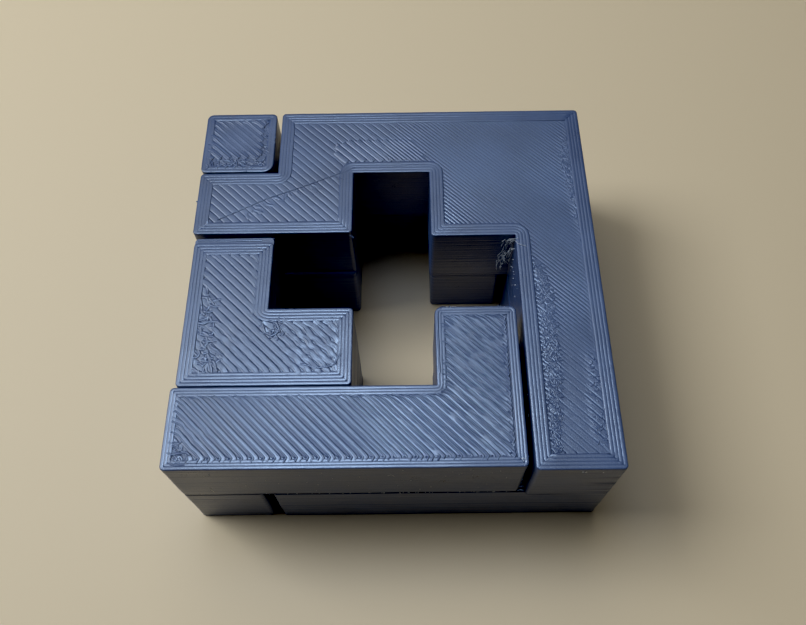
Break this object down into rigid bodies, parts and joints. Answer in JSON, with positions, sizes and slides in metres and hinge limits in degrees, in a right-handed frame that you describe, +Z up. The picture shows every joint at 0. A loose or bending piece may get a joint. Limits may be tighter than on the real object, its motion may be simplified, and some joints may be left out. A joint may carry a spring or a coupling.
{
  "type": "two-layer burr puzzle",
  "caption": "Flat square interlocking burr puzzle in two layers of square cells, with a plus-shaped hole through the middle.",
  "frame": {"origin": "centre of the underside of the closed puzzle", "axes": "+Z up through the two layers, +X to the right, and -Y towards the front, the side with the long rail under the bar"},
  "size_m": [0.0502, 0.0498, 0.02],
  "materials": {
    "slate_plastic": "slate blue-grey printed plastic with a satin sheen: fine layer lines on the walls, and outline beads with diagonal ridges on the top faces"
  },
  "bodies": {
    "frame": {"frame_piece": "slate_plastic"},
    "hook": {"hook_piece": "slate_plastic"},
    "key": {"key_piece": "slate_plastic"}
  },
  "joints": [
    {"name": "hook_slide", "type": "slide", "parent": "frame", "child": "hook", "axis": [1, 0, 0], "range_m": [0, 0.01]},
    {"name": "key_slide", "type": "slide", "parent": "frame", "child": "key", "axis": [1, 0, 0], "range_m": [0, 0.0095]}
  ]
}
